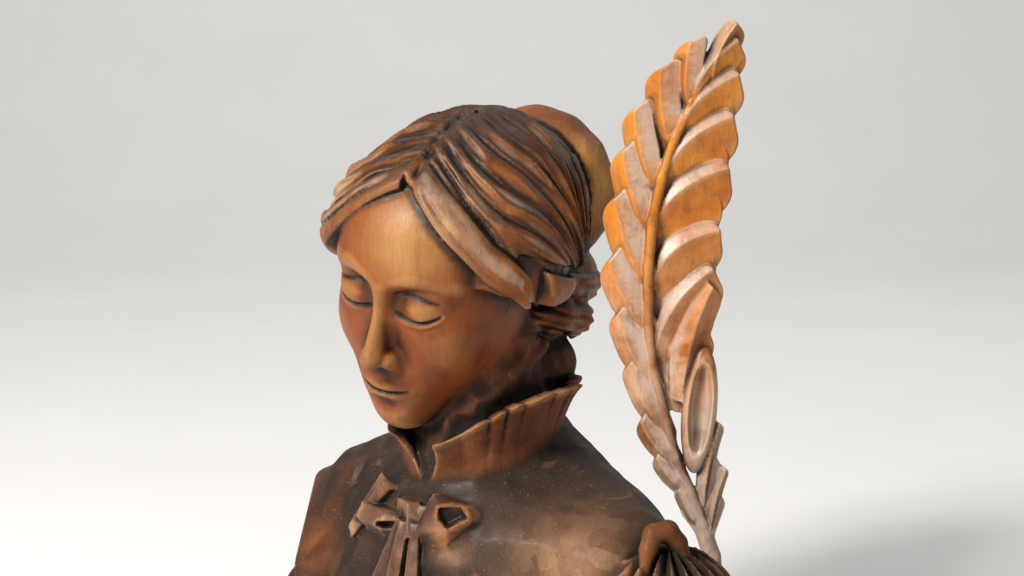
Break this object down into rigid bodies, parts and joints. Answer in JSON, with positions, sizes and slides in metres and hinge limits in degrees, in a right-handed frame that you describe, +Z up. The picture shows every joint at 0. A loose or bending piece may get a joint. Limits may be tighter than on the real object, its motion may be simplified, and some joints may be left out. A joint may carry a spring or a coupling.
{
  "type": "carved wooden saint bust",
  "caption": "Carved wooden bust of a young saint with parted hair, bun, ruffled collar and ribbon bow, a palm frond standing behind the left sleeve.",
  "frame": {"origin": "on the flat underside, below the middle of the neck", "axes": "+Z up; -Y the way the chest faces; +X towards the figure's left hand, where the frond stands"},
  "size_m": [0.2694, 0.1521, 0.3106],
  "materials": {
    "stained_wood": "stained in several browns and waxed, semi-gloss",
    "honey_wood": "light orange stain, glossy varnish"
  },
  "bodies": {
    "root": {"saint_bust": "stained_wood", "palm_frond": "honey_wood"}
  },
  "joints": []
}
